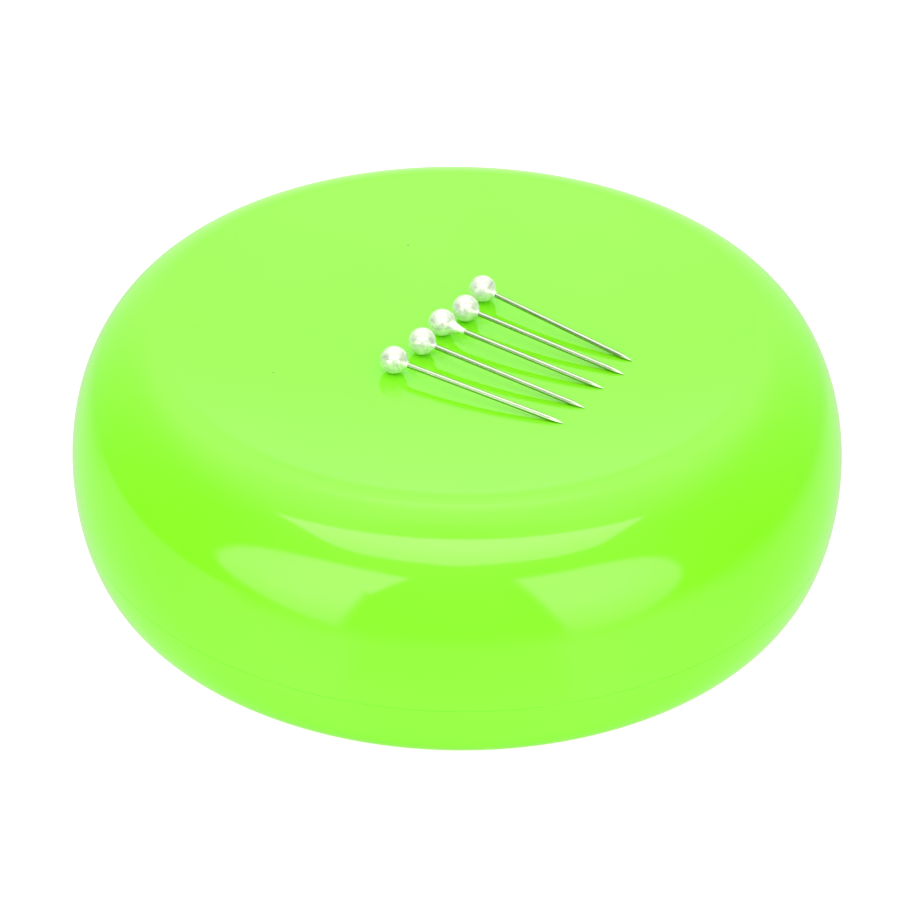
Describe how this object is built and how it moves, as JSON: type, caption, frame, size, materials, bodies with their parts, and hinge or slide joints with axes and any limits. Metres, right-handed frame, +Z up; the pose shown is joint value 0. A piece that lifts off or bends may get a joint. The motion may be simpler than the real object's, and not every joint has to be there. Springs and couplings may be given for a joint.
{
  "type": "magnetic pin cushion",
  "caption": "Round magnetic pin cushion: a glossy plastic pebble on rubber feet, with a shallow dish in its top that holds loose pearl-head pins.",
  "frame": {"origin": "on the plane that the feet stand on, under the middle of the round body", "axes": "+Z up out of the dish; the pins' points lie towards +X and -Y"},
  "size_m": [0.11, 0.11, 0.0362],
  "materials": {
    "lime_plastic": "glossy lime green moulded plastic",
    "ferrite": "dark grey sintered ferrite",
    "foam": "matt black closed-cell foam",
    "zinc_steel": "zinc-plated",
    "rubber": "matt black",
    "pin_steel": "polished nickel-plated steel",
    "pearl": "pearlescent white, swirled"
  },
  "bodies": {
    "dish_body": {"top_shell": "lime_plastic", "base_cover": "lime_plastic", "ring_magnet": "ferrite", "foam_ring": "foam", "base_screw_1": "zinc_steel", "base_screw_2": "zinc_steel", "base_screw_3": "zinc_steel", "base_screw_4": "zinc_steel", "foot_1": "rubber", "foot_2": "rubber", "foot_3": "rubber", "foot_4": "rubber"},
    "pin_1": {"pin_shaft_1": "pin_steel", "pin_head_1": "pearl"},
    "pin_2": {"pin_shaft_2": "pin_steel", "pin_head_2": "pearl"},
    "pin_3": {"pin_shaft_3": "pin_steel", "pin_head_3": "pearl"},
    "pin_4": {"pin_shaft_4": "pin_steel", "pin_head_4": "pearl"},
    "pin_5": {"pin_shaft_5": "pin_steel", "pin_head_5": "pearl"}
  },
  "joints": [
    {"name": "pin_1_lift", "type": "slide", "parent": "dish_body", "child": "pin_1", "axis": [0, 0, 1], "range_m": [0, 0.05]},
    {"name": "pin_2_lift", "type": "slide", "parent": "dish_body", "child": "pin_2", "axis": [0, 0, 1], "range_m": [0, 0.05]},
    {"name": "pin_3_lift", "type": "slide", "parent": "dish_body", "child": "pin_3", "axis": [0, 0, 1], "range_m": [0, 0.05]},
    {"name": "pin_4_lift", "type": "slide", "parent": "dish_body", "child": "pin_4", "axis": [0, 0, 1], "range_m": [0, 0.05]},
    {"name": "pin_5_lift", "type": "slide", "parent": "dish_body", "child": "pin_5", "axis": [0, 0, 1], "range_m": [0, 0.05]}
  ]
}
